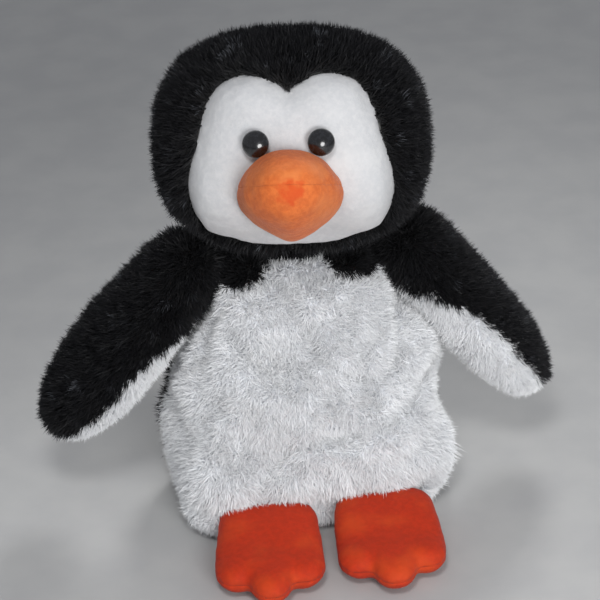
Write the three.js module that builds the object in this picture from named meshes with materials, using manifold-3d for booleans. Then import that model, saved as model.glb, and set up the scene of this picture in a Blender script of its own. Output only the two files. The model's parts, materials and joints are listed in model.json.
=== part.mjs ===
// A sitting plush penguin: stuffed head, pear-shaped body, two flippers and two three-toed feet.
// Millimetres, +Z up. The front faces -Y, the penguin's own left is +X, and the seat rests on z = 0.
// Each fabric panel is a solid as thick as its backing and the packed lower half of its pile.
import * as THREE from "three";
import { mergeVertices } from "three/addons/utils/BufferGeometryUtils.js";
import Module from "manifold-3d";

const wasm = await Module();
wasm.setup();

// Clearances
const seamGap = 0.3; // between pieces that touch or are sewn together
const socketGap = 1.4; // between a part that turns and the hollow it turns in

// Fabrics
const plushWall = 5;
const velboaWall = 2;

// Body
const bodyWidth = 141;
const bodyDepth = 98;
const bodyHeight = 143;
const baseSquareness = 3; // 2 is an ellipse: the pellets spread the bottom into a squarer outline
const bodyLean = 22; // how far back the neck is from the middle of the seat
const seatWall = 3.5;
const pelletBagHeight = 26;
const yokeHeight = 15; // black collar round the top of the body
const sideSeamSetback = 15; // the belly's side seams are this far behind the middle

// Head
const headWidth = 137;
const headDepth = 99;
const headHeight = 111;
const headPitch = THREE.MathUtils.degToRad(30); // the face looks up
const headTurn = THREE.MathUtils.degToRad(-9); // and a little to the penguin's right
const neckRadius = 20; // ball of stuffing that the head turns on
const neckSink = 5; // its centre is this far below the top of the body
const headSink = 5; // how far the head is let down over the ball's centre
const headNod = THREE.MathUtils.degToRad(14); // how far it nods each way
const headSwing = THREE.MathUtils.degToRad(35); // how far it turns each way from straight ahead
const gussetWidth = 66; // strip over the crown
const gussetEnd = { y: 5, z: -5.5 }; // below and in front of this line the side panels meet
const faceInset = 2.5; // short minky lies this much lower than the plush round it

// Eyes, beak
const eyeDiameter = 13.5;
const eyeHeight = 4.6;
const eyeSpacing = 31;
const eyeDrop = 4.5; // below the middle of the head
const shankDiameter = 4;
const shankLength = 9.5;
const washerDiameter = 11;
const washerThickness = 1.6;
const washerSlack = 1.1; // behind the fabric, which curves towards the flat washer
const beakWidth = 49;
const beakHeight = 45;
const beakLength = 33; // beyond the face
const beakDrop = 27.5;
const beakSeamRise = 2; // the seam round the beak is this far above its middle
const beakRoot = 22; // depth inside the head that the beak's form starts from
const beakTaper = 0.26; // how much its lower half narrows

// Flippers
const flipperLength = 113; // from the shoulder's centre to the tip
const flipperWidth = 54;
const flipperThickness = 37;
const flareLength = 43; // from the round root to the full width
const shoulderRadius = 19;
const shoulderSpacing = 116;
const shoulderDrop = 19; // below the top of the body
const droop = { left: THREE.MathUtils.degToRad(54), right: THREE.MathUtils.degToRad(50) };
const twist = { left: 0, right: THREE.MathUtils.degToRad(18) }; // black side turned to the front
const tuck = { left: THREE.MathUtils.degToRad(6), right: THREE.MathUtils.degToRad(12) };

// Feet
const footLength = 58;
const footWidth = 55;
const footThickness = 17;
const footSetForward = 4.5; // from the belly to the seam the foot hangs from
const ankleShare = 0.75; // thickness at that seam, as a share of the foot's
const ankleLength = 17; // from the seam to the full thickness
const footSpacing = 59;
const footTurn = { left: THREE.MathUtils.degToRad(-3), right: THREE.MathUtils.degToRad(-6) };
const footLift = 0.5; // the soles hang just clear, so that the seat takes the weight

// Label
const labelLength = 20;
const labelWidth = 14;
const labelThickness = 0.6;
const labelHeight = 14;

const fabric = (name, color, roughness) => new THREE.MeshStandardMaterial({ name, color, roughness });
const materials = {
  blackPlush: () => fabric("black_plush", 0x141417, 0.9),
  whitePlush: () => fabric("white_plush", 0xd6dade, 0.95),
  minky: () => fabric("face_minky", 0xdcdcdc, 0.9),
  velboa: () => fabric("orange_velboa", 0xc24a1c, 0.85),
  filling: () => fabric("fibre_filling", 0xe8e8e4, 1),
  bagCloth: () => fabric("bag_cloth", 0xc9c4b8, 0.95),
  satin: () => fabric("label_satin", 0xf0f0ec, 0.5),
  plastic: () => fabric("eye_plastic", 0x08080a, 0.12),
};

const vec = (x, y, z) => new THREE.Vector3(x, y, z);

function solid(geometry) {
  const bare = geometry.index ? geometry.toNonIndexed() : geometry.clone();
  bare.deleteAttribute("normal");
  bare.deleteAttribute("uv");
  const merged = mergeVertices(bare, 1e-4);
  return new wasm.Manifold(
    new wasm.Mesh({
      numProp: 3,
      vertProperties: new Float32Array(merged.attributes.position.array),
      triVerts: new Uint32Array(merged.index.array),
    }),
  );
}

function geometryOf(form) {
  const mesh = form.getMesh();
  const geometry = new THREE.BufferGeometry();
  geometry.setAttribute("position", new THREE.BufferAttribute(mesh.vertProperties, 3));
  geometry.setIndex(new THREE.BufferAttribute(mesh.triVerts, 1));
  const flat = geometry.toNonIndexed();
  flat.computeVertexNormals();
  return flat;
}

function piece(name, form, material) {
  const mesh = new THREE.Mesh(geometryOf(form), material);
  mesh.name = name;
  return mesh;
}

function reshape(geometry, move) {
  const place = geometry.attributes.position;
  const point = new THREE.Vector3();
  for (let i = 0; i < place.count; i += 1) {
    point.fromBufferAttribute(place, i);
    move(point);
    place.setXYZ(i, point.x, point.y, point.z);
  }
  return geometry;
}

// A block given by its two opposite corners.
function block(low, high) {
  const size = high.clone().sub(low);
  const middle = low.clone().add(high).multiplyScalar(0.5);
  return new THREE.BoxGeometry(size.x, size.y, size.z).translate(middle.x, middle.y, middle.z);
}

function ball(radius, centre) {
  return solid(new THREE.SphereGeometry(radius, 16, 10).translate(centre.x, centre.y, centre.z));
}

function ellipsoid(a, b, c) {
  const round = new THREE.SphereGeometry(1, 24, 14).rotateX(Math.PI / 2);
  return solid(round.scale(a, b, c));
}

const far = 400; // beyond the whole toy, for cutting blocks

// ---- Body ----

// Share of the half width against share of the height, from the edge of the seat to the neck.
const bodyProfile = [
  [0.74, 0],
  [0.91, 0.04],
  [0.985, 0.1],
  [1, 0.18],
  [0.965, 0.36],
  [0.87, 0.54],
  [0.73, 0.72],
  [0.57, 0.86],
  [0.35, 0.96],
  [0, 1],
];

const leanAt = (z) => (bodyLean * z) / bodyHeight;
const leanBack = (geometry) => reshape(geometry, (p) => { p.y += leanAt(p.z); });

function bodyForm(inset) {
  const side = new THREE.SplineCurve(bodyProfile.map(([r, h]) => new THREE.Vector2(r, h)));
  const outline = [new THREE.Vector2(0, 0), ...side.getPoints(10)];
  outline[outline.length - 1].x = 0;
  const round = new THREE.LatheGeometry(outline, 24).rotateX(Math.PI / 2);
  reshape(round, (p) => {
    const radius = Math.hypot(p.x, p.y);
    if (radius < 1e-6) return;
    const power = 2 + (baseSquareness - 2) * (1 - THREE.MathUtils.smoothstep(p.z, 0.2, 0.8));
    const spread = (Math.abs(p.x / radius) ** power + Math.abs(p.y / radius) ** power) ** (-1 / power);
    p.x *= spread;
    p.y *= spread;
  });
  round.scale(bodyWidth / 2 - inset, bodyDepth / 2 - inset, bodyHeight - 2 * inset);
  return solid(leanBack(round.translate(0, 0, inset)));
}

const neckCentre = vec(0, leanAt(bodyHeight - neckSink), bodyHeight - neckSink);
const shoulderHeight = bodyHeight - shoulderDrop;

// The hollow on top of the body that the head turns and nods in.
function headRoom() {
  const rise = vec(0, 0, headHeight / 2 - headSink);
  const wide = headWidth / 2 + socketGap;
  const form = ellipsoid(wide, wide, headHeight / 2 + socketGap);
  let room = ball(neckRadius + socketGap, neckCentre);
  for (const swing of [-headSwing, 0, headSwing]) {
    const across = vec(Math.cos(swing), Math.sin(swing), 0);
    for (const nod of [-headNod, 0, headNod]) {
      const tilt = new THREE.Matrix4().makeRotationAxis(across, nod);
      const middle = rise.clone().applyMatrix4(tilt).add(neckCentre);
      room = room.add(form.transform(tilt.setPosition(middle).elements));
    }
  }
  return room;
}

// ---- Flippers: one is drawn along +X from its shoulder, its black side up ----

// Share of the half thickness against share of the length, past the round root.
const flipperProfile = [
  [0.3, 1.02],
  [0.6, 1],
  [0.82, 0.84],
  [0.95, 0.5],
  [1, 0],
];

function flipperForm(inset) {
  const root = shoulderRadius - inset;
  const half = flipperThickness / 2 - inset;
  const length = flipperLength - inset;
  const broad = (flipperWidth / 2 - inset) / half;
  const side = new THREE.SplineCurve([
    new THREE.Vector2(root, 0),
    ...flipperProfile.map(([l, t]) => new THREE.Vector2(t * half, l * length)),
  ]);
  const outline = [];
  for (let i = 0; i < 3; i += 1) {
    const angle = (i / 3) * (Math.PI / 2);
    outline.push(new THREE.Vector2(root * Math.sin(angle), -root * Math.cos(angle)));
  }
  outline.push(...side.getPoints(7));
  outline[outline.length - 1].x = 0;
  const round = new THREE.LatheGeometry(outline, 14).rotateZ(-Math.PI / 2);
  return reshape(round, (p) => {
    p.y *= 1 + (broad - 1) * THREE.MathUtils.smoothstep(p.x, 0, flareLength);
  });
}

// Turns the flipper's own frame to its side of the body: sign is 1 on the left and -1 on the right.
function flipperPlace(side, extra) {
  const sign = side === "left" ? 1 : -1;
  const turn = new THREE.Matrix4().makeRotationY(droop[side] + extra);
  turn.multiply(new THREE.Matrix4().makeRotationX(sign * twist[side]));
  if (sign < 0) turn.premultiply(new THREE.Matrix4().makeRotationZ(Math.PI));
  return turn.setPosition((sign * shoulderSpacing) / 2, leanAt(shoulderHeight), shoulderHeight);
}

// The room a flipper needs beside the body: its round root, and its blade at rest and tucked in.
function flipperRoom(side) {
  let room = ball(shoulderRadius + socketGap, vec(0, 0, 0).applyMatrix4(flipperPlace(side, 0)));
  for (const share of [0, 0.5, 1]) {
    const blade = flipperForm(-socketGap).applyMatrix4(flipperPlace(side, share * tuck[side]));
    room = room.add(solid(blade));
  }
  return room;
}

function buildBody() {
  const group = new THREE.Group();
  const rooms = flipperRoom("left")
    .add(flipperRoom("right"))
    .add(headRoom());
  const outer = bodyForm(0);
  const cover = outer.subtract(bodyForm(plushWall)).subtract(rooms);
  const slice = (low, high) => solid(block(vec(-far, -far, low), vec(far, far, high)));
  const sideSeam = (low, high) => solid(leanBack(block(vec(-far, low, -far), vec(far, high, far))));
  const yokeEdge = bodyHeight - yokeHeight;
  const wall = cover.intersect(slice(seatWall + seamGap, yokeEdge));
  const front = sideSeam(-far, sideSeamSetback);
  const back = wall.intersect(sideSeam(sideSeamSetback + seamGap, far));
  const backHalf = (sign) => {
    const ends = [(sign * seamGap) / 2, sign * far].sort((a, b) => a - b);
    return solid(block(vec(ends[0], -far, -far), vec(ends[1], far, far)));
  };
  const seat = outer.intersect(slice(-1, seatWall));
  const inside = bodyForm(plushWall + seamGap);
  const bagFloor = seatWall + seamGap;
  const bag = inside.intersect(slice(bagFloor, bagFloor + pelletBagHeight));
  const stuffing = inside.subtract(rooms).intersect(slice(bagFloor + pelletBagHeight + seamGap, far));
  const yoke = cover.intersect(slice(yokeEdge + seamGap, far));
  const black = materials.blackPlush;
  group.add(piece("seat_panel", seat, materials.whitePlush()));
  group.add(piece("belly_panel", wall.intersect(front), materials.whitePlush()));
  group.add(piece("back_panel_left", back.intersect(backHalf(1)), black()));
  group.add(piece("back_panel_right", back.intersect(backHalf(-1)), black()));
  group.add(piece("neck_yoke", yoke, black()));
  group.add(piece("body_filling", stuffing, materials.filling()));
  group.add(piece("pellet_bag", bag, materials.bagCloth()));
  return group;
}

function buildLabel() {
  const sheet = new THREE.BoxGeometry(labelThickness, labelLength, labelWidth);
  const reach = bodyDepth / 2 + leanAt(labelHeight + labelWidth / 2) + labelLength / 2 + seamGap;
  const mesh = new THREE.Mesh(sheet, materials.satin());
  mesh.name = "care_label";
  mesh.position.set(0, reach, labelHeight);
  return mesh;
}

// ---- Neck and head ----

function buildNeck() {
  const mesh = piece("neck_filling", ball(neckRadius, vec(0, 0, 0)), materials.filling());
  mesh.position.copy(neckCentre);
  return mesh;
}

const halfHead = vec(headWidth / 2, headDepth / 2, headHeight / 2);
const headForm = (inset) => ellipsoid(halfHead.x - inset, halfHead.y - inset, halfHead.z - inset);

// Half of the face's outline, from the widow's peak round a brow and a cheek to the chin.
const faceOutline = [
  [0, 22],
  [9, 28],
  [22, 31],
  [34, 26],
  [41.5, 15],
  [44, 2],
  [48.5, -12],
  [51, -27],
  [47, -40],
  [33, -49],
  [14, -52],
  [0, -52.5],
];

function facePrism(grow) {
  const browEdge = faceOutline.slice(1, -1).map(([x, z]) => new THREE.Vector2(x, z));
  const chin = new THREE.Vector2(0, faceOutline.at(-1)[1]);
  const otherEdge = browEdge.map((p) => new THREE.Vector2(-p.x, p.y)).reverse();
  const outline = new THREE.Shape();
  outline.moveTo(0, faceOutline[0][1]);
  outline.splineThru([...browEdge, chin, ...otherEdge, new THREE.Vector2(0, faceOutline[0][1])]);
  const settings = { depth: headDepth / 2, curveSegments: 2, bevelEnabled: false };
  if (grow > 0) {
    settings.bevelEnabled = true;
    settings.bevelSegments = 1;
    settings.bevelThickness = grow;
    settings.bevelSize = grow;
  }
  return solid(new THREE.ExtrudeGeometry(outline, settings).rotateX(Math.PI / 2));
}

// A point of the face at x, z, and the direction it faces.
function onFace(x, z, inset) {
  const half = halfHead.clone().subScalar(inset);
  const y = -half.y * Math.sqrt(1 - (x / half.x) ** 2 - (z / half.z) ** 2);
  const facing = vec(x / half.x ** 2, y / half.y ** 2, z / half.z ** 2).normalize();
  return { point: vec(x, y, z), facing };
}

// The beak's outline seen from its tip, a broad shield: radius against the angle from its top.
function beakRim(angle) {
  const x = Math.sin(angle);
  const z = Math.cos(angle);
  const narrow = z < 0 ? 1 - beakTaper * z * z * Math.abs(x) : 1;
  return narrow / Math.hypot(x / (beakWidth / 2), z / (beakHeight / 2));
}

function beakForm(inset) {
  const outline = [];
  const steps = 6;
  for (let i = 0; i <= steps; i += 1) {
    const angle = (i / steps) * (Math.PI / 2);
    outline.push(new THREE.Vector2(Math.cos(angle) ** 0.8, Math.sin(angle) ** 1.15));
  }
  outline[steps].x = 0;
  outline.unshift(new THREE.Vector2(0, 0));
  const round = new THREE.LatheGeometry(outline, 20).rotateX(Math.PI);
  const { point } = onFace(0, -beakDrop, faceInset);
  const reach = -point.y + beakLength - inset - beakRoot;
  const shaped = reshape(round, (p) => {
    const angle = Math.atan2(p.x, p.z);
    const share = Math.hypot(p.x, p.z);
    const radius = (beakRim(angle) - inset) * share;
    p.set(Math.sin(angle) * radius, p.y * reach - beakRoot, Math.cos(angle) * radius - beakDrop);
  });
  return solid(shaped);
}

// A cylinder through the fabric at an eye, from depth low to depth high along the way it faces.
function eyeBore(seat, radius, low, high) {
  const rod = new THREE.CylinderGeometry(radius, radius, high - low, 16);
  rod.translate(0, (low + high) / 2, 0);
  const turn = new THREE.Quaternion().setFromUnitVectors(vec(0, 1, 0), seat.facing);
  return solid(rod.applyQuaternion(turn).translate(seat.point.x, seat.point.y, seat.point.z));
}

const faceThickness = plushWall - faceInset;
const washerTop = -faceThickness - washerSlack;
const washerBottom = washerTop - washerThickness;

// A domed safety eye on its shank, drawn along +Y from the fabric.
function eyeForm() {
  const dome = new THREE.EllipseCurve(0, seamGap, eyeDiameter / 2, eyeHeight, 0, Math.PI / 2);
  const shank = shankDiameter / 2;
  const outline = [
    new THREE.Vector2(0, seamGap - shankLength),
    new THREE.Vector2(shank, seamGap - shankLength),
    new THREE.Vector2(shank, seamGap),
    ...dome.getPoints(5),
  ];
  outline[outline.length - 1].x = 0;
  return solid(new THREE.LatheGeometry(outline, 16));
}

// The room that a dome takes up in front of the fabric.
function eyeRoom(seat) {
  const across = eyeDiameter / 2 + seamGap;
  const dome = new THREE.SphereGeometry(1, 16, 8).scale(across, eyeHeight + seamGap, across);
  const turn = new THREE.Quaternion().setFromUnitVectors(vec(0, 1, 0), seat.facing);
  return solid(dome.applyQuaternion(turn).translate(seat.point.x, seat.point.y, seat.point.z));
}

function washerForm() {
  const inner = shankDiameter / 2 + seamGap;
  const outer = washerDiameter / 2;
  const corners = [
    [inner, washerBottom],
    [outer, washerBottom],
    [outer, washerTop],
    [inner, washerTop],
    [inner, washerBottom],
  ];
  return solid(new THREE.LatheGeometry(corners.map(([r, h]) => new THREE.Vector2(r, h)), 16));
}

function placeOnFace(mesh, seat) {
  mesh.position.copy(seat.point);
  mesh.quaternion.setFromUnitVectors(vec(0, 1, 0), seat.facing);
  return mesh;
}

function buildHead() {
  const turned = new THREE.Group();
  turned.position.copy(neckCentre);
  turned.rotation.z = headTurn;
  const group = new THREE.Group();
  group.position.set(0, 0, halfHead.z - headSink);
  group.rotation.x = -headPitch;
  turned.add(group);

  const neckHere = group.position.clone().negate().applyAxisAngle(vec(1, 0, 0), headPitch);
  const neckRoom = ball(neckRadius + socketGap, neckHere);
  const inner = headForm(plushWall);
  const cover = headForm(0).subtract(inner).subtract(neckRoom);
  const hood = cover.subtract(facePrism(seamGap));
  const seats = [1, -1].map((sign) => onFace((sign * eyeSpacing) / 2, -eyeDrop, faceInset));

  let face = headForm(faceInset).subtract(inner).intersect(facePrism(0)).subtract(neckRoom);
  let stuffing = headForm(plushWall + seamGap).subtract(neckRoom);
  for (const seat of seats) {
    face = face.subtract(eyeBore(seat, shankDiameter / 2 + seamGap, -shankLength, shankLength));
    const hollow = eyeBore(seat, washerDiameter / 2 + seamGap, -shankLength - seamGap, 0);
    stuffing = stuffing.subtract(hollow);
  }

  const half = gussetWidth / 2;
  const chinBlock = (gap) => {
    return solid(block(vec(-far, -far, -far), vec(far, gussetEnd.y - gap, gussetEnd.z - gap)));
  };
  const strip = solid(block(vec(-half, -far, -far), vec(half, far, far))).subtract(chinBlock(0));
  const wideStrip = solid(block(vec(-half - seamGap, -far, -far), vec(half + seamGap, far, far)));
  const sides = hood.subtract(wideStrip.subtract(chinBlock(seamGap)));
  const leftHalf = solid(block(vec(seamGap / 2, -far, -far), vec(far, far, far)));
  const rightHalf = solid(block(vec(-far, -far, -far), vec(-seamGap / 2, far, far)));

  group.add(piece("face_panel", face, materials.minky()));
  group.add(piece("head_gusset", hood.intersect(strip), materials.blackPlush()));
  group.add(piece("head_side_left", sides.intersect(leftHalf), materials.blackPlush()));
  group.add(piece("head_side_right", sides.intersect(rightHalf), materials.blackPlush()));
  group.add(piece("head_filling", stuffing, materials.filling()));

  const skin = headForm(faceInset - seamGap);
  const eyesRoom = eyeRoom(seats[0]).add(eyeRoom(seats[1]));
  const beak = beakForm(0).subtract(skin).subtract(beakForm(velboaWall)).subtract(eyesRoom);
  const seam = beakSeamRise - beakDrop;
  const above = solid(block(vec(-far, -far, seam), vec(far, far, far)));
  const below = solid(block(vec(-far, -far, -far), vec(far, far, seam - seamGap)));
  const beakStuffing = beakForm(velboaWall + seamGap).subtract(skin);
  group.add(piece("beak_upper", beak.intersect(above), materials.velboa()));
  group.add(piece("beak_lower", beak.intersect(below), materials.velboa()));
  group.add(piece("beak_filling", beakStuffing, materials.filling()));

  ["left", "right"].forEach((side, i) => {
    group.add(placeOnFace(piece(`eye_${side}`, eyeForm(), materials.plastic()), seats[i]));
    group.add(placeOnFace(piece(`eye_washer_${side}`, washerForm(), materials.plastic()), seats[i]));
  });
  return turned;
}

// ---- Flippers ----

function buildFlipper(side) {
  const group = new THREE.Group();
  group.applyMatrix4(flipperPlace(side, 0));
  const hollow = solid(flipperForm(plushWall));
  const cover = solid(flipperForm(0)).subtract(hollow);
  const up = solid(block(vec(-far, -far, 0), vec(far, far, far)));
  const down = solid(block(vec(-far, -far, -far), vec(far, far, -seamGap)));
  const wad = ball(shoulderRadius - plushWall - socketGap, vec(0, 0, 0));
  const wadRoom = ball(shoulderRadius - plushWall, vec(0, 0, 0));
  const beyond = solid(block(vec(0, -far, -far), vec(far, far, far)));
  const stuffing = solid(flipperForm(plushWall + seamGap)).subtract(wadRoom).intersect(beyond);
  group.add(piece(`flipper_${side}_outer`, cover.intersect(up), materials.blackPlush()));
  group.add(piece(`flipper_${side}_inner`, cover.intersect(down), materials.whitePlush()));
  group.add(piece(`flipper_${side}_filling`, stuffing, materials.filling()));
  group.add(piece(`shoulder_${side}_filling`, wad, materials.filling()));
  return group;
}

// ---- Feet: one is drawn from its seam at y = 0 towards -Y ----

// Half of the foot's outline as shares of its half width and its length: middle toe, side toe, seam.
const footOutline = [
  [0, 1],
  [0.18, 0.98],
  [0.36, 0.88],
  [0.45, 0.79],
  [0.72, 0.8],
  [0.96, 0.68],
  [1, 0.45],
  [0.86, 0.2],
  [0.72, 0],
  [0.4, -0.05],
  [0, -0.05],
];

function footRim(count) {
  const half = footOutline.map(([x, l]) => new THREE.Vector2((x * footWidth) / 2, -l * footLength));
  const otherHalf = half.slice(1, -1).map((p) => new THREE.Vector2(-p.x, p.y)).reverse();
  return new THREE.SplineCurve([...half, ...otherHalf, half[0]]).getPoints(count);
}

function footForm(inset) {
  const columns = 40;
  const rows = 8;
  const rim = footRim(columns);
  const middle = new THREE.Vector2(0, -footLength / 2);
  const outline = [];
  for (let i = 0; i <= rows; i += 1) {
    const angle = (i / rows - 0.5) * Math.PI;
    outline.push(new THREE.Vector2(Math.sqrt(Math.max(0, Math.cos(angle))), Math.sin(angle)));
  }
  outline[0].x = 0;
  outline[rows].x = 0;
  const round = new THREE.LatheGeometry(outline, columns).rotateX(Math.PI / 2);
  return reshape(round, (p) => {
    const share = Math.hypot(p.x, p.y);
    const column = Math.round((Math.atan2(p.x, -p.y) / (2 * Math.PI)) * columns);
    const reach = rim[(column + columns) % columns].clone().sub(middle);
    const spot = reach.setLength((reach.length() - inset) * share).add(middle);
    const grown = THREE.MathUtils.smoothstep(-spot.y, 0, ankleLength);
    const taper = ankleShare + (1 - ankleShare) * grown;
    p.set(spot.x, spot.y, p.z * (footThickness / 2 - inset) * taper);
  });
}

function buildFoot(side) {
  const sign = side === "left" ? 1 : -1;
  const group = new THREE.Group();
  const height = footLift + footThickness / 2;
  const setForward = bodyDepth / 2 - leanAt(height) + footSetForward;
  group.position.set((sign * footSpacing) / 2, -setForward, height);
  group.rotation.z = footTurn[side];
  const cover = solid(footForm(0)).subtract(solid(footForm(velboaWall)));
  const up = solid(block(vec(-far, -far, 0), vec(far, far, far)));
  const down = solid(block(vec(-far, -far, -far), vec(far, far, -seamGap)));
  group.add(piece(`foot_${side}_upper`, cover.intersect(up), materials.velboa()));
  group.add(piece(`foot_${side}_sole`, cover.intersect(down), materials.velboa()));
  group.add(piece(`foot_${side}_filling`, solid(footForm(velboaWall + seamGap)), materials.filling()));
  return group;
}

const penguin = new THREE.Group();
penguin.add(buildBody(), buildLabel(), buildNeck(), buildHead());
for (const side of ["left", "right"]) {
  penguin.add(buildFlipper(side), buildFoot(side));
}

export default penguin;
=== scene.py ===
import json
import math
import random
import re

import bmesh
import bpy
from mathutils import Matrix, Vector, noise
from mathutils.bvhtree import BVHTree
from mathutils.kdtree import KDTree

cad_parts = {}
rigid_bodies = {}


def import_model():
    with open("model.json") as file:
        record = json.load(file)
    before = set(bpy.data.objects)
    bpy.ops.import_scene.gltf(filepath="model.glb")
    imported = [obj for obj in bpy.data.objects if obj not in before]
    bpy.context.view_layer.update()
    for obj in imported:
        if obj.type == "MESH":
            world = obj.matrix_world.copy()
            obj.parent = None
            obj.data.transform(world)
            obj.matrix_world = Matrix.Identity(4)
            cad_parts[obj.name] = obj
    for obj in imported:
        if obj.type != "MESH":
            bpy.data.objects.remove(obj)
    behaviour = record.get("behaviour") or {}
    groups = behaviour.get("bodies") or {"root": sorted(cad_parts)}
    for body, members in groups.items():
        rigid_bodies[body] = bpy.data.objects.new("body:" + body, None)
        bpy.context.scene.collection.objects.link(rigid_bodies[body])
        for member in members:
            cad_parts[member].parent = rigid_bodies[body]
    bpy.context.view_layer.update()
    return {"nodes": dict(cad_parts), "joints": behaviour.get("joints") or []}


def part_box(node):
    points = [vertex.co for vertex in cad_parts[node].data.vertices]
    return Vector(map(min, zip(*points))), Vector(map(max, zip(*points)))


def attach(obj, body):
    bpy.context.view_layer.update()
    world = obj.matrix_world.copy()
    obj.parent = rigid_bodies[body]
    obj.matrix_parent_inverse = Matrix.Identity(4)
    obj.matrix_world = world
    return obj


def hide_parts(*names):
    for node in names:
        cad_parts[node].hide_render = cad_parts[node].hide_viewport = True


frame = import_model()
joints = {joint["name"]: joint for joint in frame["joints"]}
sides = {"left": 1, "right": -1}
mm = 0.001

view = {"azimuth": -7, "elevation": 30, "roll": 2.6, "distance": 1.2, "across": 0.301, "sensor": 36,
        "target": (-0.0019, 0, 0.1096)}


def makeCamera():
    turn, rise, roll = (math.radians(view[key]) for key in ("azimuth", "elevation", "roll"))
    back = Vector((math.sin(turn) * math.cos(rise), -math.cos(turn) * math.cos(rise), math.sin(rise)))
    level = Vector((math.cos(turn), math.sin(turn), 0))
    upright = back.cross(level)
    right = level * math.cos(roll) - upright * math.sin(roll)
    top = level * math.sin(roll) + upright * math.cos(roll)
    camera = bpy.data.objects.new("camera", bpy.data.cameras.new("camera"))
    camera.data.sensor_width = view["sensor"]
    camera.data.lens = view["sensor"] * view["distance"] / view["across"]
    turned = Matrix((right, top, back)).transposed().to_4x4()
    camera.matrix_world = Matrix.Translation(Vector(view["target"]) + back * view["distance"]) @ turned
    bpy.context.scene.collection.objects.link(camera)
    bpy.context.scene.camera = camera


makeCamera()


class Wire:
    # a shader socket that sums can be written with
    def __init__(self, recipe, socket):
        self.recipe = recipe
        self.socket = socket

    def combine(self, operation, other, swapped=False):
        pair = [other, self] if swapped else [self, other]
        return self.recipe.take("ShaderNodeMath", {"operation": operation}, {0: pair[0], 1: pair[1]})

    def __add__(self, other):
        return self.combine("ADD", other)

    def __radd__(self, other):
        return self.combine("ADD", other, True)

    def __sub__(self, other):
        return self.combine("SUBTRACT", other)

    def __rsub__(self, other):
        return self.combine("SUBTRACT", other, True)

    def __mul__(self, other):
        return self.combine("MULTIPLY", other)

    def __rmul__(self, other):
        return self.combine("MULTIPLY", other, True)


class Recipe:
    # one material and the nodes that it is made of
    def __init__(self, name):
        self.material = bpy.data.materials.new(name)
        self.material.use_nodes = True
        self.tree = self.material.node_tree
        self.tree.nodes.clear()

    def take(self, kind, settings=None, sockets=None, output=0):
        node = self.tree.nodes.new(kind)
        for name, value in (settings or {}).items():
            setattr(node, name, value)
        for name, value in (sockets or {}).items():
            if isinstance(value, Wire):
                self.tree.links.new(value.socket, node.inputs[name])
            else:
                node.inputs[name].default_value = value
        return Wire(self, node.outputs[output]) if node.outputs else None

    def noise(self, where, scale, detail=2.0, roughness=0.5):
        sockets = {"Vector": where, "Scale": scale, "Detail": detail, "Roughness": roughness}
        return self.take("ShaderNodeTexNoise", None, sockets)

    def spread(self, value, low, high, to=(0, 1)):
        # value from low..high to a clamped range
        sockets = {"Value": value, "From Min": low, "From Max": high, "To Min": to[0], "To Max": to[1]}
        return self.take("ShaderNodeMapRange", {"interpolation_type": "SMOOTHSTEP"}, sockets)

    def mix(self, share, first, second, blend="MIX"):
        first, second = [c if isinstance(c, Wire) else (*c, 1) for c in (first, second)]
        sockets = {0: share, 6: first, 7: second}  # the factor and the two colours
        return self.take("ShaderNodeMix", {"data_type": "RGBA", "blend_type": blend}, sockets, 2)

    def bump(self, height, depth, strength=1.0):
        return self.take("ShaderNodeBump", None, {"Height": height, "Distance": depth, "Strength": strength})

    def coords(self):
        return self.take("ShaderNodeTexCoord", None, None, "Object")

    def finish(self, **sockets):
        spaced = {re.sub("(?<=[a-z])(?=[A-Z])", " ", name): value for name, value in sockets.items()}
        shader = self.take("ShaderNodeBsdfPrincipled", None, spaced)
        self.take("ShaderNodeOutputMaterial", None, {"Surface": shader})
        return self.material


def shade(hexCode):
    # a screen colour as the shader's linear numbers
    parts = [int(hexCode[i:i + 2], 16) / 255 for i in (0, 2, 4)]
    return tuple(c / 12.92 if c <= 0.04045 else ((c + 0.055) / 1.055) ** 2.4 for c in parts)


def furFinish(name, root, middle, tip, glintColour, roughness, sheen):
    # u of the fur's map is each lock's own tone, v runs from its root to its tip
    r = Recipe(name)
    spot = r.take("ShaderNodeSeparateXYZ", None, {0: r.take("ShaderNodeUVMap", {"uv_map": "OFBake"})})
    tone, along = spot, Wire(r, spot.socket.node.outputs[1])
    length = r.mix(r.spread(along, 0.0, 0.55), shade(root), shade(middle))
    length = r.mix(r.spread(along, 0.45, 1.0), length, shade(tip))
    # a painted glint: the tips of the locks with the highest tone are painted in the light glint colour
    paintedGlint = r.spread(tone, 0.7, 0.95) * r.spread(along, 0.3, 0.9)
    colour = r.mix(paintedGlint, length, shade(glintColour))
    return r.finish(BaseColor=colour, Roughness=r.spread(tone, 0, 1, (roughness, roughness - 0.12)),
                    SheenWeight=sheen, SheenRoughness=0.5)


def pileFinish(name, base, pale, dark, napScale, roughness=0.85, sheen=0.35, extra=None):
    # short dense pile: brushed nap, fine grain and faint clouding
    r = Recipe(name)
    where = r.coords()
    nap = r.noise(where, napScale, 3.0, 0.6)
    grain = r.noise(where, napScale * 7, 2.0, 0.6)
    cloud = r.noise(where, napScale / 7, 2.0)
    colour = r.mix(r.spread(nap, 0.35, 0.7), shade(dark), shade(base))
    colour = r.mix(r.spread(cloud, 0.45, 0.75) * 0.6, colour, shade(pale))
    colour = r.mix(r.spread(grain, 0.5, 0.8) * 0.35, colour, shade(pale))
    if extra:
        colour = extra(r, where, colour)
    height = nap * 0.6 + grain * 0.4
    return r.finish(BaseColor=colour, Roughness=r.spread(grain, 0.3, 0.7, (roughness - 0.08, roughness)),
                    Normal=r.bump(height, 0.0006, 0.7), SheenWeight=sheen, SheenRoughness=0.45)


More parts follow.
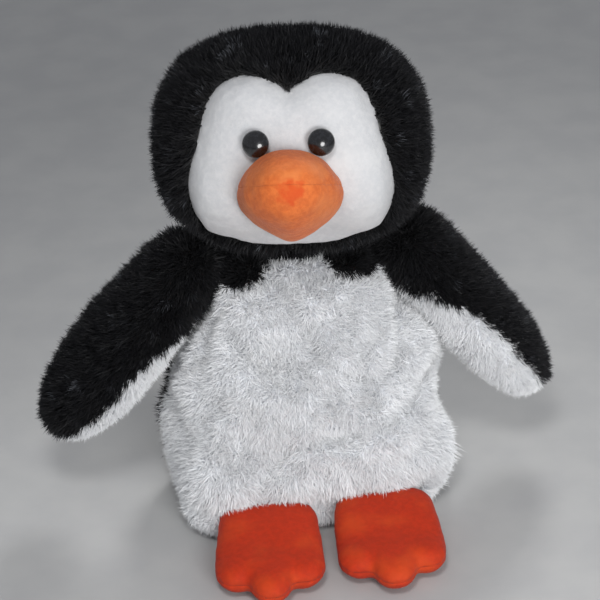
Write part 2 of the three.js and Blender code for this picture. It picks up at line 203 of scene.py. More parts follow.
def clothFinish(name, base, dark, threads, roughness=0.9):
    # plain weave
    r = Recipe(name)
    where = r.coords()
    weave = None
    for direction in ("X", "Y", "Z"):
        wave = r.take("ShaderNodeTexWave", {"wave_type": "BANDS", "bands_direction": direction},
                      {"Vector": where, "Scale": threads, "Distortion": 0.6, "Detail": 1.0}, "Fac")
        weave = wave if weave is None else weave * 0.6 + wave * 0.4
    slub = r.noise(where, threads / 5, 3.0)
    colour = r.mix(r.spread(weave * 0.6 + slub * 0.4, 0.25, 0.75), shade(dark), shade(base))
    return r.finish(BaseColor=colour, Roughness=r.spread(slub, 0.3, 0.7, (roughness - 0.1, roughness)),
                    Normal=r.bump(weave, 0.0003, 0.6), SheenWeight=0.2)


def clamped(share):
    return min(max(share, 0.0), 1.0)


def bell(distance, width):
    return math.exp(-(distance / width) ** 2)


def toObject(name, form, material=None, smooth=True):
    mesh = bpy.data.meshes.new(name)
    form.to_mesh(mesh)
    form.free()
    if smooth:
        mesh.shade_smooth()
    obj = bpy.data.objects.new(name, mesh)
    bpy.context.scene.collection.objects.link(obj)
    if material:
        obj.data.materials.append(material)
    return obj


def settle(obj):
    # the modifiers' result becomes the mesh
    depsgraph = bpy.context.evaluated_depsgraph_get()
    depsgraph.update()
    mesh = bpy.data.meshes.new_from_object(obj.evaluated_get(depsgraph))
    old = obj.data
    obj.modifiers.clear()
    obj.data = mesh
    mesh.name = obj.name
    bpy.data.meshes.remove(old)
    return obj


def toForm(obj, remove=True):
    form = bmesh.new()
    form.from_mesh(obj.data)
    if remove:
        bpy.data.objects.remove(obj)
    return form


def fromNodes(*nodes):
    # a merged copy of CAD nodes
    form = bmesh.new()
    for node in nodes:
        form.from_mesh(frame["nodes"][node].data)
    bmesh.ops.remove_doubles(form, verts=form.verts, dist=1e-6)
    return form


def keepLargest(form):
    # drops what the remesh left inside
    unseen = set(form.verts)
    groups = []
    while unseen:
        group, edge = set(), [unseen.pop()]
        while edge:
            vert = edge.pop()
            group.add(vert)
            near = [e.other_vert(vert) for e in vert.link_edges]
            edge += [v for v in near if v in unseen]
            unseen.difference_update(near)
        groups.append(group)
    groups.sort(key=len)
    bmesh.ops.delete(form, geom=[v for group in groups[:-1] for v in group], context="VERTS")


def relax(form, factor=0.5):
    axes = {"use_axis_x": True, "use_axis_y": True, "use_axis_z": True}
    bmesh.ops.smooth_vert(form, verts=form.verts, factor=factor, **axes)


def smooth(form, rounds, factor=0.5, keep=1.03):
    # every second step is undone in reverse, which holds the form's size
    for _ in range(rounds):
        relax(form, factor)
        before = [v.co.copy() for v in form.verts]
        relax(form, factor)
        for vert, start in zip(form.verts, before):
            vert.co = start + (start - vert.co) * keep
    form.normal_update()


def closedForm(nodes, voxel, inset, rounds):
    # one closed, evenly meshed form filling the room of several CAD nodes
    obj = toObject("draft", fromNodes(*nodes))
    remesh = obj.modifiers.new("remesh", "REMESH")
    remesh.mode = "VOXEL"
    remesh.voxel_size = voxel
    form = toForm(settle(obj))
    keepLargest(form)
    smooth(form, rounds)
    for vert, normal in [(v, v.normal.copy()) for v in form.verts]:
        vert.co -= normal * inset
    form.normal_update()
    return form


def nearestTo(*nodes):
    # how far a point is from the surface of some CAD nodes
    form = fromNodes(*nodes)
    tree = BVHTree.FromBMesh(form)
    form.free()
    return lambda point: tree.find_nearest(point)[3]


def between(first, second):
    # below 0 nearer the first nodes, above 0 nearer the second
    toFirst, toSecond = nearestTo(*first), nearestTo(*second)
    return lambda point: toFirst(point) - toSecond(point)


simulation = {"pressure": 4.0, "frames": 20, "quality": 5, "mass": 0.3, "bending": 0.6, "tension": 15.0}


def puff(form, seams, cap, pinned=0.003):
    # the sewn cover fills out with stuffing, held in along its seams
    before = [v.co.copy() for v in form.verts]
    held = [i for i, co in enumerate(before) if any(abs(seam(co)) < pinned for seam in seams)]
    obj = toObject("stuffed", form)
    group = obj.vertex_groups.new(name="seams")
    group.add(held, 1.0, "REPLACE")
    cloth = obj.modifiers.new("cloth", "CLOTH")
    cloth.settings.quality = simulation["quality"]
    cloth.settings.mass = simulation["mass"]
    cloth.settings.tension_stiffness = simulation["tension"]
    cloth.settings.compression_stiffness = simulation["tension"]
    cloth.settings.bending_stiffness = simulation["bending"]
    cloth.settings.use_pressure = True
    cloth.settings.uniform_pressure_force = simulation["pressure"]
    cloth.settings.effector_weights.gravity = 0
    cloth.collision_settings.use_collision = False
    cloth.settings.vertex_group_mass = "seams"
    cloth.point_cache.frame_end = simulation["frames"]
    for step in range(1, simulation["frames"] + 1):
        bpy.context.scene.frame_set(step)
    form = toForm(settle(obj))
    bpy.context.scene.frame_set(1)
    form.verts.ensure_lookup_table()
    for vert, start in zip(form.verts, before):
        move = vert.co - start
        if move.length > cap:
            vert.co = start + move.normalized() * cap
    relax(form)
    form.normal_update()
    return form


def refine(form, levels=1):
    obj = toObject("finer", form)
    subdivision = obj.modifiers.new("subdivision", "SUBSURF")
    subdivision.levels = subdivision.render_levels = levels
    return toForm(settle(obj))


nearEnd = 0.04  # a cut keeps this share of an edge away from its ends


def split(form, side):
    # cuts an open or closed form along side(point) = 0; returns the parts below and above it
    form.verts.ensure_lookup_table()
    level = {v: side(v.co) for v in form.verts}
    fresh = []
    for edge in list(form.edges):
        a, b = edge.verts
        if (level[a] < 0) != (level[b] < 0):
            low, high = 0.0, 1.0
            for _ in range(7):
                middle = (low + high) / 2
                if (side(a.co.lerp(b.co, middle)) < 0) == (level[a] < 0):
                    low = middle
                else:
                    high = middle
            fresh.append(bmesh.utils.edge_split(edge, a, min(max(low, nearEnd), 1 - nearEnd))[1])
    bmesh.ops.connect_verts(form, verts=fresh)
    inside = {f.index: side(f.calc_center_median()) < 0 for f in form.faces}
    other = form.copy()
    for part, wanted in ((form, True), (other, False)):
        part.faces.ensure_lookup_table()
        gone = [f for i, f in enumerate(part.faces) if inside[i] != wanted]
        bmesh.ops.delete(part, geom=gone, context="FACES")
        part.normal_update()
    return form, other


def tuckEdges(form, depth, width):
    # a sewn edge turns in
    rims = [v.co.copy() for v in form.verts if v.is_boundary]
    if not rims:
        return
    toRim = nearestPoint(rims)
    for vert, normal in [(v, v.normal.copy()) for v in form.verts]:
        gap = toRim(vert.co)
        if gap < width:
            vert.co -= normal * depth * (1 - gap / width) ** 2
    form.normal_update()


def nearestPoint(points):
    tree = KDTree(len(points))
    for i, point in enumerate(points):
        tree.insert(point, i)
    tree.balance()
    return lambda point: tree.find(point)[2]


def addPiece(obj, body, slot, nodes=()):
    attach(obj, body)
    if nodes:
        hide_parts(*nodes)
    return obj


def walls(obj, thickness):
    # a skin gets the thickness of its backing, inwards
    solidify = obj.modifiers.new("backing", "SOLIDIFY")
    solidify.thickness = thickness
    solidify.offset = -1
    return settle(obj)


# lengths in metres, splay in degrees; sizes are the smallest and largest scale of a tuft
furKinds = {
    "black": {"locks": 8, "width": 0.0005, "length": 0.0078, "splay": 26, "bend": 0.0, "clump": 0.0,
              "patch": 0.0012, "gap": 0.00105, "density": 0.62e6, "jitter": 0.3, "sizes": (0.7, 1.22)},
    "white": {"locks": 15, "width": 0.00042, "length": 0.007, "splay": 42, "bend": 0.0, "clump": 0.35,
              "patch": 0.0017, "gap": 0.00115, "density": 0.49e6, "jitter": 0.5, "sizes": (0.72, 1.12)},
}
lock = {"tip": 0.06, "lengths": (0.75, 1.1), "sink": 0.0008}
fur = {"tufts": 6, "toneSpread": 0.28, "toneShare": 0.96, "toneEnds": 0.01, "spin": 6.283, "standing": 0.72,
       "most": 185000, "seed": 17, "floorGap": 0.0004}
furCount = 0


def makeLock(form, uvs, rng, kind):
    # one slim three-sided lock of pile, on its root
    root = Vector((rng.uniform(-1, 1), rng.uniform(-1, 1), 0)) * kind["patch"]
    length = kind["length"] * rng.uniform(*lock["lengths"])
    place = Matrix.Translation((0, 0, length / 2)) @ Matrix.Rotation(rng.uniform(0, 2), 4, "Z")
    cone = bmesh.ops.create_cone(form, segments=3, radius1=kind["width"], radius2=kind["width"] * lock["tip"],
                                 depth=length, cap_ends=True, matrix=place)
    verts = cone["verts"]
    tips = [v for v in verts if v.co.z > length / 2]
    bmesh.ops.pointmerge(form, verts=tips, merge_co=(0, 0, length))
    verts = [v for v in verts if v.is_valid]
    heights = {v: v.co.z / length for v in verts}
    for face in {f for v in verts for f in v.link_faces}:
        for i, loop in enumerate(face.loops):
            loop[uvs].uv = (0.5 * (i % 2), heights[loop.vert])
    tilts = [Matrix.Rotation(math.radians(rng.uniform(-1, 1) * kind["splay"]), 4, axis) for axis in "XY"]
    lean = tilts[0] @ tilts[1]
    curl = Vector((rng.uniform(-1, 1), rng.uniform(-1, 1), 0)) * kind["bend"]
    for vert in verts:
        share = heights[vert]
        spot = lean @ vert.co + root + curl * share * share
        spot.x *= 1 - kind["clump"] * share
        spot.y *= 1 - kind["clump"] * share
        spot.z -= lock["sink"]
        vert.co = spot


def makeTufts(name):
    kind = furKinds[name]
    rng = random.Random(name)
    tufts = bpy.data.collections.new(name + "Tufts")
    for i in range(fur["tufts"]):
        form = bmesh.new()
        uvs = form.loops.layers.uv.new("OFBake")
        for _ in range(kind["locks"]):
            makeLock(form, uvs, rng, kind)
        tuft = toObject(f"{name}Tuft{i}", form, smooth=False)
        bpy.context.scene.collection.objects.unlink(tuft)
        tufts.objects.link(tuft)
    kind["tufts"] = tufts
    kind["faces"] = sum(len(tuft.data.polygons) for tuft in tufts.objects) / fur["tufts"]
    kind["tree"] = furNodes(name, kind)


def furNodes(name, kind):
    tree = bpy.data.node_groups.new(name + "Fur", "GeometryNodeTree")
    tree.interface.new_socket("Geometry", in_out="INPUT", socket_type="NodeSocketGeometry")
    tree.interface.new_socket("Seed", in_out="INPUT", socket_type="NodeSocketInt")
    tree.interface.new_socket("Geometry", in_out="OUTPUT", socket_type="NodeSocketGeometry")

    def take(nodeType, settings=None, sockets=None):
        node = tree.nodes.new(nodeType)
        for key, value in (settings or {}).items():
            setattr(node, key, value)
        for key, value in (sockets or {}).items():
            if isinstance(value, bpy.types.NodeSocket):
                tree.links.new(value, node.inputs[key])
            else:
                node.inputs[key].default_value = value
        return node

    def attribute(label, dataType="FLOAT"):
        node = take("GeometryNodeInputNamedAttribute", {"data_type": dataType}, {"Name": label})
        return node.outputs["Attribute"]

    def draw(dataType, low, high, seed):
        node = take("FunctionNodeRandomValue", {"data_type": dataType}, {"Seed": seed})
        slots = {"FLOAT": (2, 3, 1), "FLOAT_VECTOR": (0, 1, 0), "INT": (4, 5, 2)}
        lowSlot, highSlot, output = slots[dataType]
        node.inputs[lowSlot].default_value = low
        node.inputs[highSlot].default_value = high
        return node.outputs[output]

    def combine(operation, first, second, nodeType="ShaderNodeMath"):
        return take(nodeType, {"operation": operation}, {0: first, 1: second}).outputs[0]

    def packed(sockets):
        return take("ShaderNodeCombineXYZ", None, sockets).outputs[0]

    source = take("NodeGroupInput")
    points = take("GeometryNodeDistributePointsOnFaces", {"distribute_method": "POISSON"},
                  {"Mesh": source.outputs["Geometry"], "Distance Min": kind["gap"],
                   "Density Max": kind["density"], "Seed": source.outputs["Seed"]})
    tone = combine("ADD", attribute("tone"), draw("FLOAT", -fur["toneSpread"], fur["toneSpread"], 3))
    marked = take("GeometryNodeStoreNamedAttribute", {"data_type": "FLOAT", "domain": "POINT"},
                  {"Geometry": points.outputs["Points"], "Name": "tone", "Value": tone})
    jitter = kind["jitter"]
    stray = draw("FLOAT_VECTOR", (-jitter,) * 3, (jitter,) * 3, 5)
    way = combine("ADD", points.outputs["Normal"], attribute("comb", "FLOAT_VECTOR"), "ShaderNodeVectorMath")
    way = combine("ADD", way, stray, "ShaderNodeVectorMath")
    upright = take("FunctionNodeAlignRotationToVector", {"axis": "Z"}, {"Vector": way})
    spin = take("FunctionNodeEulerToRotation", None, {0: packed({2: draw("FLOAT", 0.0, fur["spin"], 7)})})
    turned = take("FunctionNodeRotateRotation", {"rotation_space": "LOCAL"},
                  {0: upright.outputs[0], 1: spin.outputs[0]})
    size = combine("MULTIPLY", attribute("pile"), draw("FLOAT", *kind["sizes"], 9))
    wide = combine("ADD", combine("MULTIPLY", size, 0.5), 0.5)
    tufts = take("GeometryNodeCollectionInfo", None,
                 {"Collection": kind["tufts"], "Separate Children": True, "Reset Children": True})
    placed = take("GeometryNodeInstanceOnPoints", None,
                  {"Points": marked.outputs[0], "Instance": tufts.outputs[0], "Pick Instance": True,
                   "Instance Index": draw("INT", 0, fur["tufts"] - 1, 11), "Rotation": turned.outputs[0],
                   "Scale": packed({0: wide, 1: wide, 2: size})})
    real = take("GeometryNodeRealizeInstances", None, {0: placed.outputs[0]})
    old = take("ShaderNodeSeparateXYZ", None, {0: attribute("OFBake", "FLOAT_VECTOR")})
    across = combine("ADD", combine("MULTIPLY", attribute("tone"), fur["toneShare"]),
                     combine("MULTIPLY", old.outputs[0], 1 - fur["toneShare"]))
    across = take("ShaderNodeClamp", None, {0: across, 1: fur["toneEnds"], 2: 1 - fur["toneEnds"]}).outputs[0]
    mapped = take("GeometryNodeStoreNamedAttribute", {"data_type": "FLOAT2", "domain": "CORNER"},
                  {"Geometry": real.outputs[0], "Name": "OFBake",
                   "Value": packed({0: across, 1: old.outputs[1]})})
    sink = take("NodeGroupOutput")
    tree.links.new(mapped.outputs[0], sink.inputs[0])
    return tree


furInputs = {"comb": "FLOAT_VECTOR", "tone": "FLOAT", "pile": "FLOAT"}


def growFur(name, form, kindName, body, slot, material, comb, tone, pile):
    # covers a surface with pile, in as many pieces as keep each one light
    global furCount
    kind = furKinds[kindName]
    area = sum(f.calc_area() for f in form.faces)
    pieces = max(1, math.ceil(area * kind["density"] * fur["standing"] * kind["faces"] / fur["most"]))
    order = sorted(form.faces, key=lambda f: f.calc_center_median().x)
    total, band = 0.0, {}
    for face in order:
        band[face.index] = min(pieces - 1, int(total / area * pieces))
        total += face.calc_area()
    for part in range(pieces):
        surface = form.copy()
        surface.faces.ensure_lookup_table()
        gone = [f for i, f in enumerate(surface.faces) if band[i] != part]
        bmesh.ops.delete(surface, geom=gone, context="FACES")
        surface.normal_update()
        values = {"comb": [x for v in surface.verts for x in comb(v.co)],
                  "tone": [tone(v.co) for v in surface.verts], "pile": [pile(v.co) for v in surface.verts]}
        label = name if pieces == 1 else f"{name}{part + 1}"
        obj = toObject(label, surface)
        for title, dataType in furInputs.items():
            layer = obj.data.attributes.new(title, dataType, "POINT")
            layer.data.foreach_set("vector" if dataType == "FLOAT_VECTOR" else "value", values[title])
        grow = obj.modifiers.new("fur", "NODES")
        grow.node_group = kind["tree"]
        grow["Socket_1"] = fur["seed"] + part
        settle(obj)
        mesh = obj.data
        for title in furInputs:
            if title in mesh.attributes:
                mesh.attributes.remove(mesh.attributes[title])
        for vert in mesh.vertices:
            vert.co.z = max(vert.co.z, fur["floorGap"])
        mesh.materials.clear()
        mesh.materials.append(material)
        addPiece(obj, body, slot)
        count = len(mesh.polygons)
        furCount += count
        print(f"fur {label}: {count} triangles", flush=True)


def clouds(scale, low, high, seed=0):
    # soft patches of a value over a surface
    shift = Vector((seed, seed * 2, seed * 3))
    return lambda p: low + (high - low) * (0.5 + 0.5 * noise.noise(p / scale + shift))


def swirl(scale, strength, seed=0):
    # a wandering direction over a surface
    shift = Vector((seed, -seed, seed * 2))
    return lambda p: noise.noise_vector(p / scale + shift) * strength


# how the tones and the lengths of the pile wander
blackTone = clouds(0.008, 0.1, 0.75, 5)
blackPatches = clouds(0.01, 0.86, 1.08, 2)
whiteTone = clouds(0.014, 0.1, 0.95, 9)

head = {
    "half": (0.0685, 0.0495, 0.0555), "tilt": -30, "rise": 0.0505, "skinInset": 0.004, "gussetHalf": 0.033,
    "gussetEnd": (0.005, -0.0055), "eyeSpacing": 0.031, "eyeDrop": 0.0045, "eyeInset": 0.0025,
    "square": 0.0048, "squareFrom": 0.62, "squareOver": 0.3, "squareWay": (0.75, 0.66),
}
# the thickness of each cloth
backing = {"plush": 0.0018, "minky": 0.0016, "velboa": 0.001, "satin": 0.0003}

# the head's own frame, from its joints
headTurn = math.atan2(joints["head_nod"]["axis"][1], joints["head_nod"]["axis"][0])
neckPlace = Vector(joints["head_turn"]["pos_m"])
headCentre = neckPlace + Vector((0, 0, head["rise"]))
headPlace = (Matrix.Translation(headCentre) @ Matrix.Rotation(headTurn, 4, "Z")
             @ Matrix.Rotation(math.radians(head["tilt"]), 4, "X"))
toHead = headPlace.inverted()
hoodNodes = ("head_gusset", "head_side_left", "head_side_right")
# half of the face's edge in the head's own x and z, from the widow's peak to the chin
faceEdge = [(0, 21.5), (7, 26.5), (14, 30), (22, 31), (31, 28.5), (38, 22), (42, 12), (44.5, 0), (48.5, -12),
            (50.5, -24), (48, -36), (41, -44), (31, -49), (18, -51.5), (0, -52.5)]
faceMiddle = -0.012

print("stage: finishes", flush=True)
# the last colour of each fur is its painted glint, put on the tips of a few locks
blackFur = furFinish("blackFur", "040405", "09090b", "141418", "8a8e96", 0.72, 0.0)
whiteFur = furFinish("whiteFur", "e6e8ec", "f2f3f5", "f7f8f9", "ffffff", 0.85, 0.25)
blackKnit = clothFinish("blackKnit", "101013", "050506", 900)
whiteKnit = clothFinish("whiteKnit", "eceef0", "dfe2e6", 900)
faceMinky = pileFinish("faceMinky", "cfcfd0", "d6d6d6", "c6c7c9", 420, 0.9, 0.2)
washerFinish = clothFinish("washerPlastic", "d8d8d4", "c8c8c2", 300, 0.5)
fibreFinish = pileFinish("fibreFilling", "e6e6e2", "f2f2f0", "c9c9c4", 160, 0.95, 0.3)
bagFinish = clothFinish("bagCloth", "cfcabd", "aaa597", 700)
satinFinish = clothFinish("labelSatin", "f0f0ec", "d8d8d3", 1500, 0.45)


def beakTipSheen(r, where, colour):
    # painted nap sheen: the pile over the tip, where its nap faces the light, is painted darker and redder;
    # noise roughens the spot's edge
    away = r.take("ShaderNodeVectorMath", {"operation": "DISTANCE"}, {0: where, 1: tuple(beakTip)}, 1)
    sheenEdge = r.noise(where, 210, 2.0)
    spot = r.spread(away + sheenEdge * 0.014, 0.0155, 0.011)
    return r.mix(spot * 0.8, colour, shade("cf4a12"))


beakTip = headPlace @ Vector((0.002, -0.0758, -0.029))
# the beak's velboa, with a painted nap sheen over its tip
beakVelboa = pileFinish("beakVelboa", "dc7232", "e68a4c", "cc6228", 380, 0.85, 0.1, beakTipSheen)
footVelboa = pileFinish("footVelboa", "bd2c02", "cc4610", "ae2802", 380, 0.85, 0.03)

eyeFinish = Recipe("eyePlastic")
eyeGrain = eyeFinish.noise(eyeFinish.coords(), 700, 3.0)
eyeColour = eyeFinish.mix(eyeFinish.spread(eyeGrain, 0.4, 0.7), shade("0a0a0c"), shade("1b1c20"))
eyeShine = eyeFinish.spread(eyeGrain, 0.3, 0.7, (0.2, 0.3))
eyeBump = eyeFinish.bump(eyeGrain, 0.00004, 0.3)
eyeMaterial = eyeFinish.finish(BaseColor=eyeColour, Roughness=eyeShine, Normal=eyeBump, CoatWeight=1.0,
                               CoatRoughness=0.06)

for name in furKinds:
    makeTufts(name)


def edgeTable():
    # the face edge's distance from the face's middle, at even angles from the peak down to the chin
    points = [(x * mm, z * mm - faceMiddle) for x, z in faceEdge]
    spots = [(math.atan2(x, z), math.hypot(x, z)) for x, z in points]
    steps = 240
    table = []
    for i in range(steps + 1):
        angle = math.pi * i / steps
        for (a, ra), (b, rb) in zip(spots, spots[1:]):
            if a <= angle <= b + 1e-9:
                table.append(ra + (rb - ra) * (angle - a) / (b - a))
                break
    for _ in range(40):  # the sewn line is a smooth curve, apart from the peak
        table = table[:1] + [(u + 2 * v + w) / 4 for u, v, w in zip(table, table[1:], table[2:])] + table[-1:]
    return table


edgeRadii = edgeTable()


def faceSide(p):
    # below 0 on the face, above 0 on the hood
    local = toHead @ p
    if local.y > 0:
        return 0.02
    angle = abs(math.atan2(local.x, local.z - faceMiddle))
    place = angle / math.pi * (len(edgeRadii) - 1)
    low = min(int(place), len(edgeRadii) - 2)
    radius = edgeRadii[low] + (edgeRadii[low + 1] - edgeRadii[low]) * (place - low)
    return math.hypot(local.x, local.z - faceMiddle) - radius


def headSkin():
    print("stage: head", flush=True)
    form = closedForm(hoodNodes + ("face_panel", "head_filling"), 0.0035, head["skinInset"], 8)

    def crownSeam(sign):
        return lambda p: sign * (toHead @ p).x - head["gussetHalf"] if (toHead @ p).z > 0 else 1.0

    form = puff(form, [faceSide, crownSeam(1), crownSeam(-1)], 0.004, 0.0022)
    form = refine(form)
    sideWay, topWay = head["squareWay"]
    for vert in form.verts:  # the stuffing squares the corners of the head a little
        local = toHead @ vert.co
        across, rise = local.x / head["half"][0], local.z / head["half"][2]
        out = math.hypot(across, rise)
        reach = clamped((out - head["squareFrom"]) / head["squareOver"])
        corner = 2 * abs(across * rise) / max(out * out, 1e-6)
        way = Vector((math.copysign(sideWay, across), 0, math.copysign(topWay, rise)))
        vert.co = headPlace @ (local + way * head["square"] * reach * corner ** 1.5)
    form.normal_update()
    return split(form, faceSide)


face = {
    "raise": 0.0016, "grain": 0.0003, "tuck": 0.0045, "tuckWidth": 0.011,
    # x and z, width and height, push: cheeks, brows and eye hollows, then the chin and the bridge
    "pairs": ((0.035, -0.027, 0.016, 0.018, 0.0055), (0.022, 0.015, 0.014, 0.012, 0.003),
              (head["eyeSpacing"] / 2, -head["eyeDrop"], 0.008, 0.008, -0.0012)),
    "singles": ((0.0, -0.046, 0.03, 0.006, -0.0008), (0.0, 0.018, 0.007, 0.012, -0.001)),
}
faceLumps = [(sign * x, *rest) for x, *rest in face["pairs"] for sign in (1, -1)] + list(face["singles"])


def faceLift(p):
    # how far the stuffing pushes the face out at a point of the head's own frame
    return sum(push * bell(p.x - x, width) * bell(p.z - z, height) for x, z, width, height, push in faceLumps)


hood = {"napeAt": (0, 0.016, 0.012), "napeSize": 0.018, "napePile": 0.9, "edgeWidth": 0.007, "flow": 0.32,
        "edgeFlow": 0.6}


def hoodNape(p):
    # the pile behind the neck is long enough to meet the collar's
    return math.exp(-((p - neckPlace - Vector(hood["napeAt"])).length / hood["napeSize"]) ** 4)


def gussetSide(p):
    # below 0 on the panel over the crown, above 0 on the two side panels
    local = toHead @ p
    endY, endZ = head["gussetEnd"]
    return abs(local.x) - head["gussetHalf"] if local.z > endZ or local.y > endY else 1.0


def makeHead():
    facePart, hoodPart = headSkin()
    for vert, normal in [(v, v.normal.copy()) for v in facePart.verts]:
        lift = faceLift(toHead @ vert.co)
        vert.co += normal * (face["raise"] + lift + face["grain"] * noise.noise(vert.co * 260))
    tuckEdges(facePart, face["tuck"], face["tuckWidth"])
    relax(facePart, 0.4)
    facePiece = walls(toObject("facePanel", facePart, faceMinky), backing["minky"])
    addPiece(facePiece, "head", "face_minky", ["face_panel"])

    wander = swirl(0.012, 0.22, 3)

    def comb(p):
        # away from the face, more so along its edge, and down behind the neck
        local = toHead @ p
        away = Vector((local.x, 0.25 * max(local.y, 0.0), local.z * 0.9))
        edge = max(1 - faceSide(p) / hood["edgeWidth"], 0.0)
        flow = headPlace.to_3x3() @ away.normalized() * (hood["flow"] + hood["edgeFlow"] * edge)
        return flow * (1 - hoodNape(p)) + wander(p) + Vector((0, 0.05, -0.05 - 1.2 * hoodNape(p)))

    def pile(p):
        return blackPatches(p) + hood["napePile"] * hoodNape(p)

    gusset, cheeks = split(hoodPart, gussetSide)
    sideLeft, sideRight = split(cheeks, lambda p: -(toHead @ p).x)
    for name, node, part in (("hoodGusset", "head_gusset", gusset), ("hoodLeft", "head_side_left", sideLeft),
                             ("hoodRight", "head_side_right", sideRight)):
        tuckEdges(part, 0.001, 0.003)
        growFur(name + "Fur", part, "black", "head", "black_plush", blackFur, comb, blackTone, pile)
        skin = walls(toObject(name, part, blackKnit), backing["plush"])
        addPiece(skin, "head", "black_plush", [node])


# radius and height of the eye's stem, rim and dome
eyeProfile = [(0.0, -0.0088), (0.0019, -0.0088), (0.002, -0.0012), (0.0052, -0.0006), (0.0064, -0.0001),
              (0.00675, 0.0006), (0.0066, 0.0013), (0.0061, 0.0022), (0.0052, 0.00315), (0.0040, 0.0040),
              (0.0027, 0.00455), (0.0013, 0.0049), (0.0, 0.005)]


def makeEyes():
    half = Vector(head["half"]) - Vector((head["eyeInset"],) * 3)
    for side, sign in sides.items():
        x, z = sign * head["eyeSpacing"] / 2, -head["eyeDrop"]
        y = -half.y * math.sqrt(1 - (x / half.x) ** 2 - (z / half.z) ** 2)
        facing = Vector((x / half.x ** 2, y / half.y ** 2, z / half.z ** 2)).normalized()
        form = bmesh.new()
        verts = [form.verts.new((r, 0, h)) for r, h in eyeProfile]
        edges = [form.edges.new(pair) for pair in zip(verts, verts[1:])]
        bmesh.ops.spin(form, geom=verts + edges, cent=(0, 0, 0), axis=(0, 0, 1), angle=math.tau, steps=32,
                       use_merge=True)
        bmesh.ops.remove_doubles(form, verts=form.verts, dist=1e-6)
        turn = facing.to_track_quat("Z", "Y").to_matrix().to_4x4()
        bmesh.ops.transform(form, verts=form.verts, matrix=headPlace @ Matrix.Translation((x, y, z)) @ turn)
        bmesh.ops.recalc_face_normals(form, faces=form.faces)
        obj = toObject(f"eyeDome_{side}", form, eyeMaterial)
        subdivision = obj.modifiers.new("subdivision", "SUBSURF")
        subdivision.levels = subdivision.render_levels = 1
        settle(obj)
        addPiece(obj, "head", "eye_plastic", [f"eye_{side}"])


beak = {"jowl": 0.085, "jowlAt": -0.031, "jowlReach": 0.014, "seamAt": -0.0255, "seamWidth": 0.0009,
        "seamDepth": 0.00022, "dent": 0.0006, "fullness": 0.0009}


def makeBeak():
    print("stage: beak", flush=True)
    form = closedForm(("beak_upper", "beak_lower", "beak_filling"), 0.0022, -0.0008, 10)
    seam = between(["beak_upper"], ["beak_lower"])
    base = nearestTo("face_panel")
    form = puff(form, [seam, lambda p: base(p) - 0.001], 0.0016, 0.0012)
    form = refine(form)
    for _ in range(6):
        relax(form)
    for vert in form.verts:
        local = toHead @ vert.co
        local.x *= 1 + beak["jowl"] * bell(local.z - beak["jowlAt"], beak["jowlReach"])
        vert.co = headPlace @ local
    for _ in range(8):
        relax(form)
    form.normal_update()
    for vert, normal in [(v, v.normal.copy()) for v in form.verts]:
        groove = bell((toHead @ vert.co).z - beak["seamAt"], beak["seamWidth"])
        dent = beak["dent"] * noise.noise(vert.co * 90)
        vert.co += normal * (dent + beak["fullness"] - beak["seamDepth"] * groove)
    form.normal_update()
    upper, lower = split(form, seam)
    for name, node, part in (("beakTop", "beak_upper", upper), ("beakUnder", "beak_lower", lower)):
        skin = walls(toObject(name, part, beakVelboa), backing["velboa"])
        addPiece(skin, "head", "orange_velboa", [node])


body = {
    "skinInset": 0.0012, "lobeDrop": 0.015, "crease": 0.007, "sideSeam": 0.015, "seatAt": 0.0035,
    "floorGap": 0.0008, "hemAt": 0.026, "hemWidth": 0.006, "hemLength": 0.65, "napePile": 0.8,
    # place and push of the lower corners, and how far each one reaches
    "cornerSize": 0.024,
    "corners": ((-0.056, -0.034, 0.009, -0.0075, -0.0085), (0.058, -0.032, 0.01, 0.003, -0.001)),
    # place, width and share of the drop of the white peaks
    "peaks": ((-0.05, 0.007, 0.2), (0.0, 0.02, 1.0), (0.049, 0.009, 0.6)),
}
bodyNodes = ("seat_panel", "belly_panel", "back_panel_left", "back_panel_right", "neck_yoke", "body_filling",
             "pellet_bag")


def sideSeam(p):
    # below 0 in front of the side seams, above 0 behind them
    return p.y - neckPlace.y / neckPlace.z * p.z - body["sideSeam"]


def yokeEdge():
    # the black collar hangs lower in two lobes on the chest
    edge = between(["neck_yoke"], ["belly_panel", "back_panel_left", "back_panel_right"])
    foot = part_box("neck_yoke")[0].z

    def side(p):
        if sideSeam(p) > 0:
            return edge(p)
        peak = max(share * bell(p.x - x, width) for x, width, share in body["peaks"])
        return foot - body["lobeDrop"] * (1 - peak) + 0.004 - p.z
    return side


def bodyForm():
    form = closedForm(bodyNodes, 0.0042, body["skinInset"], 8)
    for vert in form.verts:
        if vert.co.z < 0.012:  # the seat lies flat
            vert.co.z = max(body["floorGap"], vert.co.z - body["skinInset"])
    form = puff(form, [sideSeam, lambda p: p.z - 0.002, lambda p: p.x if p.y > 0.03 else 1.0], 0.004, 0.003)
    for vert, normal in [(v, v.normal.copy()) for v in form.verts]:
        if vert.co.z > 0.01:  # lumps of stuffing and pellets
            fold = bell(noise.noise(vert.co * 21 + Vector((4, 1, 7))), 0.09)
            lump = noise.noise(vert.co * 34) + 0.5 * noise.noise(vert.co * 75) - 0.8 * fold
            vert.co += normal * body["crease"] * lump
        for x, y, z, pushX, pushY in body["corners"]:
            near = bell((vert.co - Vector((x, y, z))).length, body["cornerSize"])
            vert.co += Vector((pushX, pushY, 0)) * near
        vert.co.z = max(vert.co.z, body["floorGap"])
    form.normal_update()
    form = refine(form)
    for vert in form.verts:
        vert.co.z = max(vert.co.z, body["floorGap"])
    return form


def hem(p):
    # the pile just above the feet lies down over them
    return bell(p.z - body["hemAt"], body["hemWidth"]) if p.y < -0.02 else 0.0


def bodyNape(p):
    # the pile behind the neck stands up to meet the hood's
    return clamped((p.z - neckPlace.z + 0.016) / 0.01) if p.y > neckPlace.y else 0.0


